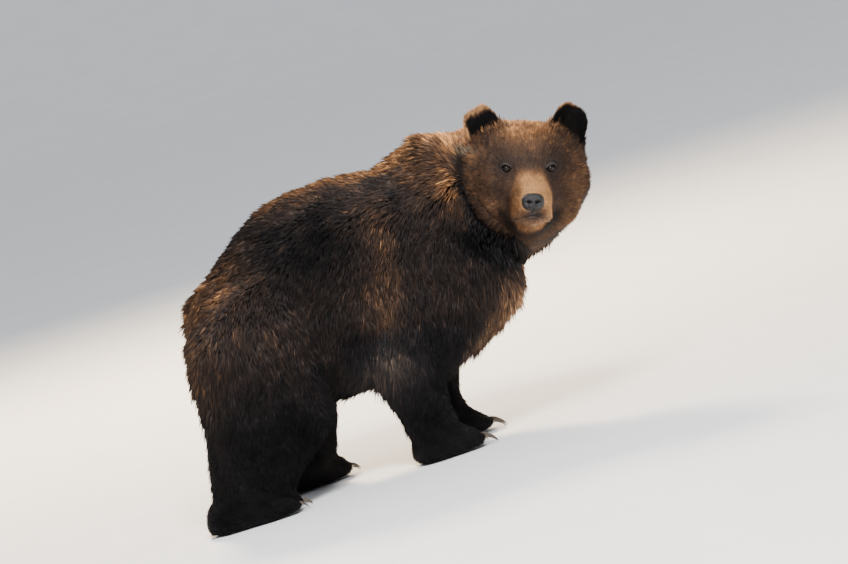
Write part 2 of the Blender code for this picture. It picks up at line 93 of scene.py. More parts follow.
# ---- coat ----
TUFTS = 380000
PIECE_TUFTS = 48000  # four triangles each, under 200,000 a piece
PATCH = 0.003  # side of a tuft's patch on the unwrap
CLUMP = 12  # tufts that lean together into a lock
WAIST = 0.4  # where along its length a tuft is widest and bends
LOWEST_FOOT, LOWEST_TIP = 0.0008, 0.0012  # above the floor
# How far each ear leans to its left, how wide its rim is along its top and round its edge, where the fur
# stands out and painted rim light makes it golden, and how far to the left its hollow lies.
EAR_COATS = {
    "ear_left": (math.radians(20), 0.008, 0.001, 0.0),
    "ear_right": (math.radians(-26), 0.027, 0.014, 0.01),
}

# ---- eyes, nose and claws ----
CORNEA = math.radians(38)  # from the eye's axis to the cornea's edge
CORNEA_BULGE = 0.05  # of the eye's radius
EYE_EDGE = math.radians(75)  # from the eye's axis to the end of its colours
NOSE_SIZE = (0.026, 0.0355, 0.0265)  # half its length, width and height
NOSE_SHIFT = (-0.006, 0.0, 0.0)  # from the middle of the CAD's nose
NOSE_SQUARENESS = 2.6  # 2 is an ellipsoid
NOSE_BARE = (0.033, 0.025)  # half width and half height of the patch without tufts behind it
NOSE_ROWS, NOSE_COLUMNS = 56, 72
NOSTRIL_DEPTH, NOSE_GROOVE = 0.011, 0.002
CLAW_WELD = 0.00002  # corners of the CAD's claws this close are one

# ---- floor, light and camera ----
FLOOR_RADIUS, FLOOR_CURVE = 22.0, 18.0  # of its disc, and of the curve round it
FLOOR_BEND = math.radians(80)  # how far round the curve goes
FLOOR_SIDES, FLOOR_STEPS = 96, 24
VIEW_TURN, VIEW_RISE, VIEW_ROLL = math.radians(-22), math.radians(5.5), math.radians(16)
VIEW_DISTANCE = 14.7
VIEW_WIDTH = 2.65  # metres across the picture at that distance
AIM = BODY_ZERO + np.array([0.55, 0.0, 0.5])
AIM_SHIFT = (0.2713, 0.0392)  # from the middle of the body to the middle of the picture, rightwards and up
SKY, SKY_STRENGTH = (0.93, 0.96, 1.0), 0.8
# Each light's way from the bear (right, up and back to the camera), distance, size, power and colour.
LIGHTS = {
    "sun": ((-0.15, 0.95, -1.0), 7.0, 1.4, 1400.0, (1.0, 0.76, 0.5)),
    "soft": ((0.1, 0.8, 1.0), 8.0, 2.2, 1220.0, (1.0, 0.98, 0.95)),
}


# ---- small tools ----
def body_place(points):
    """From the model's numbers to body numbers."""
    return points - BODY_ZERO


def head_place(points):
    """From the model's numbers to head numbers."""
    return (points - HEAD_ZERO) @ HEAD_AXES


def from_head(places):
    """Back from head numbers to the model's."""
    return HEAD_ZERO + places @ HEAD_AXES.T


def head_way(forward, left, up):
    """A way given in the head's directions."""
    return HEAD_AXES @ np.array([forward, left, up], float)


def nose_middle():
    return head_place(middle("nose")[None])[0]


def ease(low, high, values):
    """0 below low, 1 above high and smooth between them."""
    share = np.clip((values - low) / (high - low), 0, 1)
    return share * share * (3 - 2 * share)


def bell(values, centre, width):
    """1 at the centre, falling off smoothly on both sides."""
    return np.exp(-(((values - centre) / width) ** 2))


def blob(points, centre, radii):
    """1 at the centre, falling off smoothly all round."""
    return np.exp(-0.5 * (((points - np.array(centre)) / np.array(radii)) ** 2).sum(axis=1))


def mixed(values, target, share):
    """The values moved by a share of the way to the target."""
    return values + share * (target - values)


def lengths(vectors):
    return np.linalg.norm(vectors, axis=1)


def unit(vectors):
    return vectors / np.maximum(lengths(vectors), 1e-9)[:, None]


def flat_on(vectors, normals):
    """The vectors laid along a surface."""
    return unit(vectors - normals * (vectors * normals).sum(axis=1, keepdims=True))


def turned(ways, towards, angles):
    """Ways turned by angles towards others that are square to them."""
    return ways * np.cos(angles)[:, None] + towards * np.sin(angles)[:, None]


def noise(points, size, seed):
    """Smooth noise from -1 to 1 with features of the given size."""
    scaled = points / size + seed * 17.31
    cell = np.floor(scaled).astype(np.int64)
    part = scaled - cell
    part = part * part * (3 - 2 * part)
    total = np.zeros(len(points))
    for corner in np.ndindex(2, 2, 2):
        at = cell + np.array(corner)
        code = (at[:, 0] * 73856093) ^ (at[:, 1] * 19349663) ^ (at[:, 2] * 83492791) ^ (seed * 2654435)
        code = (code ^ (code >> 13)) * 1274126177 & 0x7FFFFFFF
        value = (code ^ (code >> 16)) % 65536 / 32767.5 - 1
        weight = np.prod(np.where(np.array(corner) == 1, part, 1 - part), axis=1)
        total += value * weight
    return total


def read(collection, name, width, kind=np.float32):
    """A value of each of a mesh's items."""
    values = np.empty(len(collection) * width, kind)
    collection.foreach_get(name, values)
    return values.reshape(-1, width)


def points_of(mesh):
    return read(mesh.vertices, "co", 3).astype(float)


def normals_of(mesh):
    return read(mesh.vertex_normals, "vector", 3).astype(float)


def move_points(mesh, points):
    mesh.vertices.foreach_set("co", points.astype(np.float32).ravel())
    mesh.update()


def mesh_from(bm, name):
    """The mesh of a finished bmesh."""
    mesh = bpy.data.meshes.new(name)
    bm.to_mesh(mesh)
    bm.free()
    return mesh


def mesh_object(name, mesh, material=None, slot=None, replaces=()):
    """An object in the scene, and with a slot a piece of the model."""
    obj = bpy.data.objects.new(name, mesh)
    bpy.context.scene.collection.objects.link(obj)
    if material:
        mesh.materials.append(material)
    if slot:
        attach(obj, "root")
    if replaces:
        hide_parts(*replaces)
    return obj


def evaluated(obj):
    """A new mesh of the object with its modifiers applied."""
    bpy.context.view_layer.update()
    graph = bpy.context.evaluated_depsgraph_get()
    return bpy.data.meshes.new_from_object(obj.evaluated_get(graph))


def add_attribute(mesh, name, values):
    layer = mesh.attributes.new(name, "FLOAT", "POINT")
    layer.data.foreach_set("value", np.asarray(values, np.float32))


class Net:
    """The edges of a mesh, to spread values over it."""

    def __init__(self, mesh):
        edges = read(mesh.edges, "vertices", 2, np.int32)
        self.count = len(mesh.vertices)
        self.start = np.concatenate([edges[:, 0], edges[:, 1]])
        self.end = np.concatenate([edges[:, 1], edges[:, 0]])
        self.degree = np.maximum(np.bincount(self.start, minlength=self.count), 1)

    def blurred(self, values, rounds, share=0.5):
        values = np.array(values, float)
        wide = values.reshape(self.count, -1)
        for _ in range(rounds):
            for column in wide.T:
                near = np.bincount(self.start, column[self.end], self.count) / self.degree
                column += (near - column) * share
        return wide.reshape(values.shape)


# ---- the skin's shape ----
def flesh_mesh():
    """The flesh nodes as one closed surface."""
    bm = bmesh.new()
    for node in FLESH:
        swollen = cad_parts[node].data.copy()
        move_points(swollen, points_of(swollen) + SWELL * normals_of(swollen))
        bm.from_mesh(swollen)
        bpy.data.meshes.remove(swollen)
    flesh = mesh_object("flesh", mesh_from(bm, "flesh"))
    remesh = flesh.modifiers.new("join", "REMESH")
    remesh.mode = "VOXEL"
    remesh.voxel_size = VOXEL
    joined = evaluated(flesh)
    bpy.data.objects.remove(flesh)
    return joined


def largest_part(bm):
    """Drops everything but the largest connected surface."""
    bm.verts.ensure_lookup_table()
    seen = np.zeros(len(bm.verts), bool)
    parts = []
    for first in bm.verts:
        if seen[first.index]:
            continue
        seen[first.index] = True
        part = [first]
        for vertex in part:
            for edge in vertex.link_edges:
                other = edge.other_vert(vertex)
                if not seen[other.index]:
                    seen[other.index] = True
                    part.append(other)
        parts.append(part)
    for part in sorted(parts, key=len)[:-1]:
        bmesh.ops.delete(bm, geom=part, context="VERTS")


def subdivide(bm, near):
    """Halves the edges that have both ends near."""
    bm.verts.index_update()
    edges = [e for e in bm.edges if near[e.verts[0].index] and near[e.verts[1].index]]
    bmesh.ops.subdivide_edges(bm, edges=edges, cuts=1, use_grid_fill=True)


def from_eyes(points):
    """Distance to the middle of the nearer eye."""
    return np.min([lengths(points - eye) for eye in EYES.values()], axis=0)


def refine_face(bm):
    """Finer faces on the face, and finest round the eyes."""
    for ahead, reach in FACE_CUTS:
        places = head_place(np.array([v.co for v in bm.verts]))
        subdivide(bm, (places[:, 0] > ahead) & (lengths(places) < reach))
    subdivide(bm, from_eyes(np.array([v.co for v in bm.verts])) < EYE_REACH)


def owners(points):
    """Which flesh node each point lies on."""
    best = np.ones(len(points))
    owner = np.zeros(len(points), int)
    for index, node in enumerate(FLESH):
        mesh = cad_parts[node].data
        tree = BVHTree.FromPolygons([v.co for v in mesh.vertices], [p.vertices for p in mesh.polygons])
        low, high = (np.array(corner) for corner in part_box(node))
        near = ((points > low - 0.03) & (points < high + 0.03)).all(axis=1)
        for i in np.nonzero(near)[0]:
            place, _, _, distance = tree.find_nearest(Vector(points[i]), best[i])
            if place is not None and distance < best[i]:
                best[i] = distance
                owner[i] = index
    return owner


def on(owner, *nodes):
    """Where the owner is one of these flesh nodes."""
    return np.isin(owner, [FLESH.index(node) for node in nodes])


def from_face(head):
    """Distance of head places from the middle of the face, as seen from in front of it."""
    return np.hypot(head[:, 1], head[:, 2] + 0.045)


def cheek_zone(points, owner):
    """1 where the round face spreads over the trunk and neck beside the jaws."""
    head = head_place(points)
    beside = on(owner, "trunk", "neck") * ease(-0.17, -0.14, head[:, 0])
    return beside * ease(0.19, 0.172, from_face(head)) * (lengths(head) < 0.4)


def coat_depth(points, owner):
    """How far the coat stands off the skin."""
    height, ahead = body_place(points)[:, 2], head_place(points)[:, 0]
    leg = 0.006 + 0.007 * ease(0.06, 0.14, height) + 0.01 * ease(0.15, 0.45, height)
    face = 0.002 + 0.0042 * ease(0.07, 0.0, ahead) + 0.01 * ease(-0.02, -0.12, ahead)
    face += 0.008 * ease(-0.12, -0.22, ahead)
    depth = np.where(on(owner, *LEGS), leg, 0.024)
    depth[on(owner, "neck")] = 0.026
    depth[on(owner, "tail")] = 0.008
    depth = np.where(on(owner, "head"), face, depth)
    depth = mixed(depth, 0.012, cheek_zone(points, owner))
    depth[on(owner, *EAR_COATS)] = 0.0055
    return depth


def ear_zones(points, owner, normals):
    """How far each point is in an ear's hollow, and how far out on its rim, which painted rim light makes
    golden.
    """
    hollow, rim = np.zeros(len(points)), np.zeros(len(points))
    for ear, (lean, fluff, band, aside) in EAR_COATS.items():
        upright = np.array(Matrix.Rotation(-lean, 3, "X"))
        shell = head_place(points_of(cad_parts[ear].data)) @ upright
        low, high = shell.min(axis=0), shell.max(axis=0)
        mine = on(owner, ear)
        place = head_place(points[mine]) @ upright
        wide = (high[1] - low[1]) / 2
        arch = low[2] + (high[2] - low[2]) * 0.45
        above = np.maximum(place[:, 2] - arch, 0) * wide / (high[2] - arch)
        out = np.hypot(place[:, 1] - (low[1] + high[1]) / 2 - aside, above)
        edge = ease(wide - band - 0.01, wide - band, out)
        top = high[2] - fluff
        edge = np.maximum(edge, ease(top - 0.008, top + 0.006, place[:, 2]))
        front = ease(0.0, 0.35, normals[mine] @ head_way(1, 0, 0))
        hollow[mine] = front * (1 - edge)
        rim[mine] = edge
    return hollow, rim


def looseness(points, owner, normals):
    """1 where the coat hangs loose: chest, belly, backs of the legs and the ruff round the face."""
    x, _, z = body_place(points).T
    f, l, u = head_place(points).T
    loose = ease(-0.3, -0.75, normals[:, 0]) * ease(0.06, 0.18, z) * ease(0.6, 0.35, z)
    loose = np.maximum(loose, ease(-0.35, -0.8, normals[:, 2]) * ease(0.14, 0.22, z))
    ahead = ease(0.1, 0.55, normals @ [0.87, 0.0, -0.5])
    loose = np.maximum(loose, ahead * ease(0.78, 0.88, x) * ease(0.18, 0.26, z) * ease(0.68, 0.58, z))
    ruff = ease(0.135, 0.165, np.hypot(l, u + 0.04)) * ease(0.02, -0.1, u) * ease(0.03, -0.02, f)
    return np.maximum(loose, 0.6 * ruff * on(owner, "head"))


def flow_ways(points, normals, owner):
    """Where the hair points, by part of the body, before it is laid on the skin."""
    body, head = body_place(points), head_place(points)
    facing_up = normals[:, 2]
    way = np.tile([-0.55, 0.0, -0.8], (len(points), 1))
    back, belly = ease(0.35, 0.85, facing_up), ease(-0.5, -0.9, facing_up)
    rump = ease(0.26, 0.1, body[:, 0])
    chest = ease(1.0, 1.12, body[:, 0]) * ease(0.2, -0.2, facing_up)
    ways = ((-1.0, 0.0, -0.12), (-1.0, 0.0, -0.25), (-0.45, 0.0, -1.0), (-0.05, -0.05, -1.0))
    for zone, there in zip((back, belly, rump, chest), ways):
        way = way * (1 - zone[:, None]) + np.array(there) * zone[:, None]
    way[on(owner, "neck")] = [-0.8, 0.48, -0.45]
    # The face's hair spreads out from in front of the nose.
    outward = unit((head - [0.165, 0.0, -0.065]) * [0.9, 1.0, 1.0]) @ HEAD_AXES.T
    way = np.where(on(owner, "head")[:, None], outward, way)
    way = mixed(way, outward, cheek_zone(points, owner)[:, None])
    for ear, side in zip(EAR_COATS, (1, -1)):
        way[on(owner, ear)] = head_way(-0.15, 0.25 * side, 1.0)
    way[on(owner, "tail")] = [-0.3, 0.0, -1.0]
    # Down the legs and forward over the paws.
    on_paw = ease(0.13, 0.05, body[:, 2])[:, None]
    down = np.array([-0.28, 0.0, -1.0]) * (1 - on_paw) + np.array([0.9, 0.0, -0.25]) * on_paw
    return unit(np.where(on(owner, *LEGS)[:, None], down, way))


def eye_frame(side):
    """An eye's own axes: out of the head, to its left and up."""
    sign = 1 if side == "left" else -1
    out = head_way(1.0, 0.3 * sign, 0.12)
    out /= np.linalg.norm(out)
    left = np.cross(head_way(0, 0, 1), out)
    left /= np.linalg.norm(left)
    return np.array([out, left, np.cross(out, left)]).T


def lid_edge(local, side):
    """1 on the edge of the lids and less between them, for places in an eye's own axes."""
    slant = 0.12 if side == "left" else -0.12
    half_width, half_height = LID_OPENING
    return np.hypot(local[:, 1] / half_width, (local[:, 2] - slant * local[:, 1]) / half_height)


def shape_lids(points):
    """Drapes the skin over each eyeball as two creased lids, and tucks it behind the ball between them."""
    for side, eye in EYES.items():
        axes = eye_frame(side)
        local = (points - eye) @ axes
        across = lengths(local[:, 1:])
        edge = lid_edge(local, side)
        ahead = (local[:, 0] > -0.006) & (across < 0.04)
        upper = ease(-0.003, 0.004, local[:, 2])
        cover = EYE_RADIUS + LID_THICKNESS + LID_HOOD * upper
        rim = np.minimum(across, cover * 0.9)
        dome = np.sqrt(cover**2 - rim**2) - (across - rim) * 1.1
        crease = bell(edge, 1.95, 0.28) * (0.0011 + 0.0013 * upper)
        local[:, 0] = np.where(ahead, np.maximum(dome, local[:, 0]) - crease, local[:, 0])
        hidden = np.sqrt(np.maximum((EYE_RADIUS - 0.004) ** 2 - across**2, 0))
        local[:, 0] = np.where(ahead & (edge < 1), hidden, local[:, 0])
        points[ahead] = (eye + local @ axes.T)[ahead]


def mouth_height(head):
    """Height of the line of the mouth: lowest beside the muzzle, and higher at its corners."""
    back = np.clip((0.175 - head[:, 0]) / 0.11, 0, 1)
    hang = np.sqrt(head[:, 1] ** 2 + 0.01**2) - 0.01
    return -0.115 - 0.34 * hang - 0.006 * back + 0.016 * back**3


def by_muzzle(head):
    """Whether head places are near the muzzle."""
    f, l, u = head.T
    return (np.abs(f - 0.1) < 0.12) & (np.abs(l) < 0.09) & (np.abs(u + 0.1) < 0.1)


def mouth_line(head):
    """Distance of head places from the line of the mouth, and from the crease under the nose."""
    f, l, u = head.T
    elsewhere = ~by_muzzle(head)
    on_line = np.abs(u - mouth_height(head))
    on_line[(f < 0.062) | elsewhere] = 1.0
    crease = np.abs(l)
    crease[(f < 0.12) | (u > -0.092) | (u < -0.117) | elsewhere] = 1.0
    return on_line, crease


def shape_jaw(points):
    """Sets the lower jaw back and in from the upper lip, which hangs a little over it."""
    head = head_place(points)
    f, l, u = head.T.copy()
    over = u - mouth_height(head)
    near = by_muzzle(head)
    below = ease(0.002, -0.014, over) * ease(0.02, 0.09, f) * near
    chin = below * ease(-0.135, -0.165, u)
    lip = bell(over, 0.01, 0.012) * near
    lip *= ease(0.04, 0.09, f) * ease(0.01, 0.03, np.abs(l))
    head[:, 1] *= 1 - 0.24 * below - 0.03 * lip - 0.14 * chin
    head[:, 0] -= 0.009 * below * ease(0.1, 0.16, f)
    head[:, 2] += 0.013 * chin
    return from_head(head)


def shape_toes(points, normals):
    """Presses a groove between neighbouring toes into the front of each paw."""
    for leg in LEGS:
        claws = [middle(f"claw{leg[3:]}_{number}") for number in range(1, 6)]
        for first, second in zip(claws, claws[1:]):
            x, y, z = (points - (first + second) / 2).T
            groove = bell(y, 0, TOE_GAP) * ease(-0.105, -0.05, x) * ease(0.1, 0.06, z) * (x < 0.05)
            points -= normals * (TOE_DEPTH * groove)[:, None]


def filled_cheeks(net, points):
    """Fills the crease between jaws and neck, so that the face is round."""
    head = head_place(points)
    f, _, u = head.T
    out = from_face(head)
    zone = ease(0.105, 0.13, out) * ease(0.23, 0.2, out)
    zone *= ease(-0.16, -0.12, f) * ease(0.03, -0.02, u) * ease(0.06, 0.02, f)
    return points + (net.blurred(points, 70) - points) * zone[:, None]


def make_skin():
    """The skin's mesh, with each vertex's part of the body, coat depth and lie of the coat."""
    bm = bmesh.new()
    bm.from_mesh(flesh_mesh())
    largest_part(bm)
    refine_face(bm)
    mesh = mesh_from(bm, "skin")
    net = Net(mesh)
    outside = filled_cheeks(net, net.blurred(points_of(mesh), 6))
    move_points(mesh, outside)
    owner = owners(outside)
    normals = unit(net.blurred(normals_of(mesh), 4))
    depth = net.blurred(coat_depth(outside, owner), 14)
    flow = flow_ways(outside, normals, owner)
    for _ in range(6):
        flow = flat_on(net.blurred(flow, 5), normals)
    points = outside - normals * (depth + SWELL)[:, None]
    points = shape_jaw(net.blurred(points, 3, 0.35))
    shape_lids(points)
    shape_toes(points, normals)
    on_line, crease = mouth_line(head_place(points))
    inward = np.maximum(ease(0.006, 0.0, on_line), 0.6 * ease(0.004, 0.0, crease)) * MOUTH_DEPTH
    points -= normals * inward[:, None]
    points[:, 2] = np.maximum(points[:, 2], LOWEST_SKIN)
    move_points(mesh, points)
    mesh.shade_smooth()
    return mesh, owner, depth, flow


# ---- markings ----
def body_markings(points, normals):
    """Tone and warmth of trunk, neck, legs and tail."""
    x, y, z = body_place(points).T
    facing_ahead, _, facing_up = normals.T
    ragged = z + 0.045 * noise(points, 0.08, 8) + 0.02 * noise(points, 0.03, 9)
    patchy = 1 + 0.25 * noise(points, 0.07, 10)
    # Brown on the back, the hump, the rump and the hams, with painted sunlight along the top of the back,
    # and painted shade along the flank below the back.
    back = ease(0.86, 1.0, facing_up) * ease(0.55, 0.7, z)
    hump = ease(0.72, 0.9, x - 0.5 * (0.92 - z)) * ease(0.66, 0.84, z)
    rump = ease(0.36, 0.14, x) * ease(0.62, 0.74, z) * ease(0.1, 0.7, facing_up)
    hams = ease(-0.22, -0.95, facing_ahead) * ease(0.18, 0.56, ragged) * patchy
    flank_shade = ease(0.62, 0.78, z) * ease(0.96, 0.8, facing_up)
    flank_shade *= ease(0.66, 0.5, x) * ease(-0.9, -0.4, facing_ahead)
    # A lighter band down behind the shoulder.
    from_band = x - 0.585 - 0.31 * (z - 0.45)
    band = bell(from_band, 0, np.where(from_band > 0, 0.045, 0.08))
    band *= ease(0.3, 0.5, z) * ease(0.95, 0.75, z) * (1 - 0.5 * ease(-0.05, 0.1, y))
    tone = 0.19 + 0.035 * ease(0.66, 0.58, z) - 0.05 * ease(0.5, 0.42, z)
    tone += 0.22 * back + 0.19 * hump + 0.2 * rump - 0.14 * flank_shade + 0.17 * band
    tone += (0.04 + 0.18 * ease(0.46, 0.64, z)) * hams
    warm = 0.3 + 0.6 * back + 0.45 * hump + 0.5 * rump + 0.24 * band + 0.2 * hams
    # Nearly black belly and legs, with grey on the elbows: snow dust and a painted sheen.
    low = ease(0.5, 0.22, ragged)
    tone = mixed(tone, 0.05 + 0.13 * ease(0.34, 0.42, x) * ease(0.22, 0.34, z), low)
    arm = ease(0.42, 0.49, x) * ease(0.92, 0.8, x) * ease(0.485, 0.445, z + 0.2 * (x - 0.62))
    arm *= ease(0.1, 0.16, np.abs(y))
    tone = mixed(tone, 0.085 + 0.03 * ease(0.7, 0.78, x), arm)
    tone += 0.38 * blob(np.stack([x, z], axis=1), (0.58, 0.37), (0.065, 0.07)) * arm
    warm *= (1 - low) * (1 - arm)
    # A brown chest, lightened on its front by painted fill light.
    chest = ease(-0.06, 0.02, x - 0.84 - 1.05 * (z - 0.34)) * ease(0.22, 0.42, ragged)
    chest *= ease(0.66, 0.46, ragged) * ease(-0.3, 0.15, facing_ahead)
    chest *= bell(y + 0.04 * noise(points, 0.06, 11), -0.08, 0.18)
    return mixed(tone, 0.68 * patchy, chest), mixed(warm, 0.6, chest)


def neck_markings(points, owner, tone, warm):
    """Brown cheek fur, painted shade in the fold round the face, a golden ridge beyond it lit by painted rim
    light, and a painted shadow on the throat.
    """
    head = head_place(points)
    f, _, u = head.T
    out = from_face(head)
    near = ease(-0.3, -0.22, f) * (lengths(head) < 0.5)
    body = on(owner, "trunk", "neck") * near
    back_of_head = on(owner, "head") * ease(-0.09, -0.13, f)
    upper = ease(-0.02, 0.05, u)
    cheek = cheek_zone(points, owner)
    tone, warm = mixed(tone, 0.38, cheek), mixed(warm, 0.62, cheek)
    # The ridge: painted rim light, strongest on its upper part.
    ridge = bell(out, 0.236, 0.019) * ease(-0.14, -0.05, u) * ease(0.15, 0.09, u)
    ridge *= np.maximum(body, back_of_head)
    beyond = ease(0.38, 0.29, out) * ease(0.24, 0.262, out) * ease(-0.15, -0.08, u) * body
    tone = tone - (0.06 + 0.3 * upper) * beyond + (0.16 + 0.54 * upper) * ridge
    warm = warm + 0.45 * ridge + 0.35 * ease(0.3, 0.24, out) * upper * body
    # The throat: painted shadow, darkened like the fold.
    throat = ease(0.3, 0.24, out) * ease(-0.15, -0.19, u) * ease(0.172, 0.19, out)
    dark = np.maximum(shade_in_fold_behind_face(head), throat) * body
    return tone * (1 - 0.9 * dark), warm * (1 - 0.5 * dark)


def shade_in_fold_behind_face(head):
    """1 in the fold where the ruff ends, from the ears down to the throat, where shade is painted dark."""
    u = head[:, 2]
    reach = 0.193 - 0.01 * ease(-0.06, -0.14, u) + 0.017 * ease(0.02, 0.06, u)
    return bell(from_face(head), reach, 0.015) * ease(0.12, 0.085, u)


def lips(head):
    """1 on the bare dark skin between the nose and the mouth."""
    f, l, u = head.T
    over = u - mouth_height(head)
    bare = ease(-0.005, -0.001, over) * ease(0.014, 0.005, np.abs(l) + 0.3 * over)
    return bare * ease(0.1, 0.13, f) * ease(-0.094, -0.1, u) * by_muzzle(head)


def face_markings(points):
    """Tone and warmth of the head: tan muzzle, dark round the eyes, painted shadow under the chin, and a
    golden crown with painted sunlight on top.
    """
    head = head_place(points)
    f, l, u = head.T
    side, out = np.abs(l), np.hypot(l, u + 0.03)
    front, flat = head[:, 1:], np.stack([side, u], axis=1)
    # A golden crown, and painted sunlight along the top of the head.
    crown = ease(0.05, 0.1, u) * ease(0.12, 0.03, side)
    tone = 0.4 + 0.22 * crown + 0.1 * ease(0.12, 0.16, u)
    warm = 0.72 + 0.28 * crown
    # Ripples in the short fur round the face, and painted light and shade of wrinkles over the brow.
    wave = 0.8 * noise(points, 0.03, 7)
    ripple, wrinkle_shading = np.sin(out / 0.0026 + wave), np.sin((u + 0.4 * side) / 0.0024 + wave)
    tone += 0.035 * ripple * ease(0.1, 0.13, out) * ease(0.2, 0.17, out)
    tone += 0.05 * wrinkle_shading * blob(flat, (0.02, 0.075), (0.035, 0.014))
    tone -= 0.12 * ease(-0.12, -0.19, f) * ease(0.15, 0.19, out)
    # Dark round the eyes, beside the muzzle and between the brows.
    dark = blob(flat, (0.074, 0.004), (0.03, 0.032))
    dark = np.maximum(dark, 0.55 * blob(flat, (0.08, -0.08), (0.028, 0.05)))
    dark = np.maximum(dark, 0.75 * blob(flat, (0.0, 0.014), (0.036, 0.016)))
    tone -= 0.145 * dark
    warm -= 0.3 * dark
    # Painted shade in the fold behind the ruff, a painted shadow in a ring under the chin and darker below
    # it, and lighter on both cheeks, with painted light on the lower right cheek.
    fold_shade = shade_in_fold_behind_face(head) * ease(-0.04, -0.08, f)
    tone *= 1 - 0.8 * fold_shade
    warm -= 0.2 * fold_shade
    ring = bell(np.hypot(l, u + 0.1), 0.086, 0.021) * ease(-0.11, -0.14, u) * ease(0.12, 0.07, f)
    tone *= 1 - 0.93 * ring
    tone -= 0.09 * ease(-0.18, -0.215, u) * ease(0.04, 0.0, f)
    tone += 0.27 * blob(front, (-0.096, -0.146), (0.028, 0.034))
    tone += 0.08 * ease(0.1, 0.15, l) * ease(0.06, 0.0, u)
    # The muzzle: tan, lightest along its bridge, where painted light from above adds to it, and with painted
    # sunlight on its left side.
    across = np.where(l > 0, 0.78 * l, -l)
    width = np.interp(f, (0.02, 0.05, 0.09, 0.12), (0.03, 0.044, 0.064, 0.085))
    muzzle = ease(0.01, 0.045, f) * ease(width + 0.01, width - 0.01, across)
    bridge = ease(0.042, 0.018, across) * ease(-0.1, -0.06, u) * ease(-0.012, -0.05, u)
    lit = 0.62 + 0.27 * bridge + np.interp(l, (-0.05, 0.07), (-0.08, 0.24))
    tone, warm = mixed(tone, lit, muzzle), mixed(warm, 0.97, muzzle)
    mouth = ease(0.026, -0.004, u - mouth_height(head)) * ease(0.03, 0.09, f)
    tone -= 0.08 * mouth
    warm -= 0.38 * mouth
    tone += 0.1 * blob(front, (0.0, -0.147), (0.03, 0.013)) * ease(0.06, 0.1, f)
    bare = 0.95 * blob(front, (0.006, -0.108), (0.022, 0.013)) * ease(0.1, 0.13, f)
    return mixed(tone, 0.2, bare), mixed(warm, 0.25, bare)


def markings(points, owner, normals):
    """Tone from 0, black, to 1, golden, and warmth from 0, grey, to 1, orange."""
    tone, warm = body_markings(points, normals)
    tone, warm = neck_markings(points, owner, tone, warm)
    on_head = on(owner, "head") * ease(-0.2, -0.12, head_place(points)[:, 0])
    face_tone, face_warm = face_markings(points)
    tone, warm = mixed(tone, face_tone, on_head), mixed(warm, face_warm, on_head)
    hollow, rim = ear_zones(points, owner, normals)
    ear = on(owner, *EAR_COATS)
    # Ears: darker in the hollow, and lighter on the rim, where rim light is painted.
    tone[ear] = ((0.4 + 0.28 * rim) * (1 - hollow))[ear]
    warm[ear] = 0.85
    tone += (0.03 + 0.05 * tone) * (noise(points, 0.09, 1) + noise(points, 0.03, 2))
    return np.clip(tone, 0, 1), np.clip(warm, 0, 1)


# ---- materials ----
class Nodes:
    """A new material and its nodes."""

    def __init__(self, name):
        self.material = bpy.data.materials.new(name)
        self.material.use_nodes = True
        self.tree = self.material.node_tree
        self.shader = self.tree.nodes["Principled BSDF"]

    def add(self, kind, **values):
        """A node with values for its inputs or settings."""
        node = self.tree.nodes.new(kind)
        for name, value in values.items():
            if name in node.inputs:
                node.inputs[name].default_value = value
            else:
                setattr(node, name, value)
        return node

    def feed(self, value, socket):
        """Sets a number or a colour on a socket, or links an output to it."""
        if isinstance(value, (int, float)):
            socket.default_value = value
        elif isinstance(value, tuple):
            socket.default_value = (*value, 1.0)
        else:
            self.tree.links.new(value, socket)

    def shade(self, name, value):
        """Feeds one of the shader's own sockets."""
        self.feed(value, self.shader.inputs[name])

    def attribute(self, name):
        return self.add("ShaderNodeAttribute", attribute_name=name).outputs["Fac"]

    def coordinates(self):
        return self.add("ShaderNodeTexCoord").outputs["Object"]

    def math(self, operation, *values):
        node = self.add("ShaderNodeMath", operation=operation)
        for value, socket in zip(values, node.inputs):
            self.feed(value, socket)
        return node.outputs[0]

    def scaled(self, value, factor, offset):
        return self.math("MULTIPLY_ADD", value, factor, offset)

    def ramp(self, factor, stops):
        """Colours that change with a factor."""
        node = self.add("ShaderNodeValToRGB")
        ramp = node.color_ramp
        while len(ramp.elements) < len(stops):
            ramp.elements.new(0.5)
        for element, (position, colour) in zip(ramp.elements, stops):
            element.position = position
            element.color = (*colour, 1.0)
        self.feed(factor, node.inputs["Fac"])
        return node.outputs["Color"]

    def mix(self, factor, first, second):
        """A colour between two."""
        node = self.add("ShaderNodeMix", data_type="RGBA")
        for value, place in ((factor, 0), (first, 6), (second, 7)):
            self.feed(value, node.inputs[place])
        return node.outputs[2]

    def noise(self, scale, detail, coordinates):
        node = self.add("ShaderNodeTexNoise", Scale=scale, Detail=detail)
        self.feed(coordinates, node.inputs["Vector"])
        return node.outputs["Fac"]

    def bump(self, height, strength, distance):
        """Small relief on the surface."""
        node = self.add("ShaderNodeBump", Strength=strength, Distance=distance)
        self.feed(height, node.inputs["Height"])
        self.shade("Normal", node.outputs["Normal"])


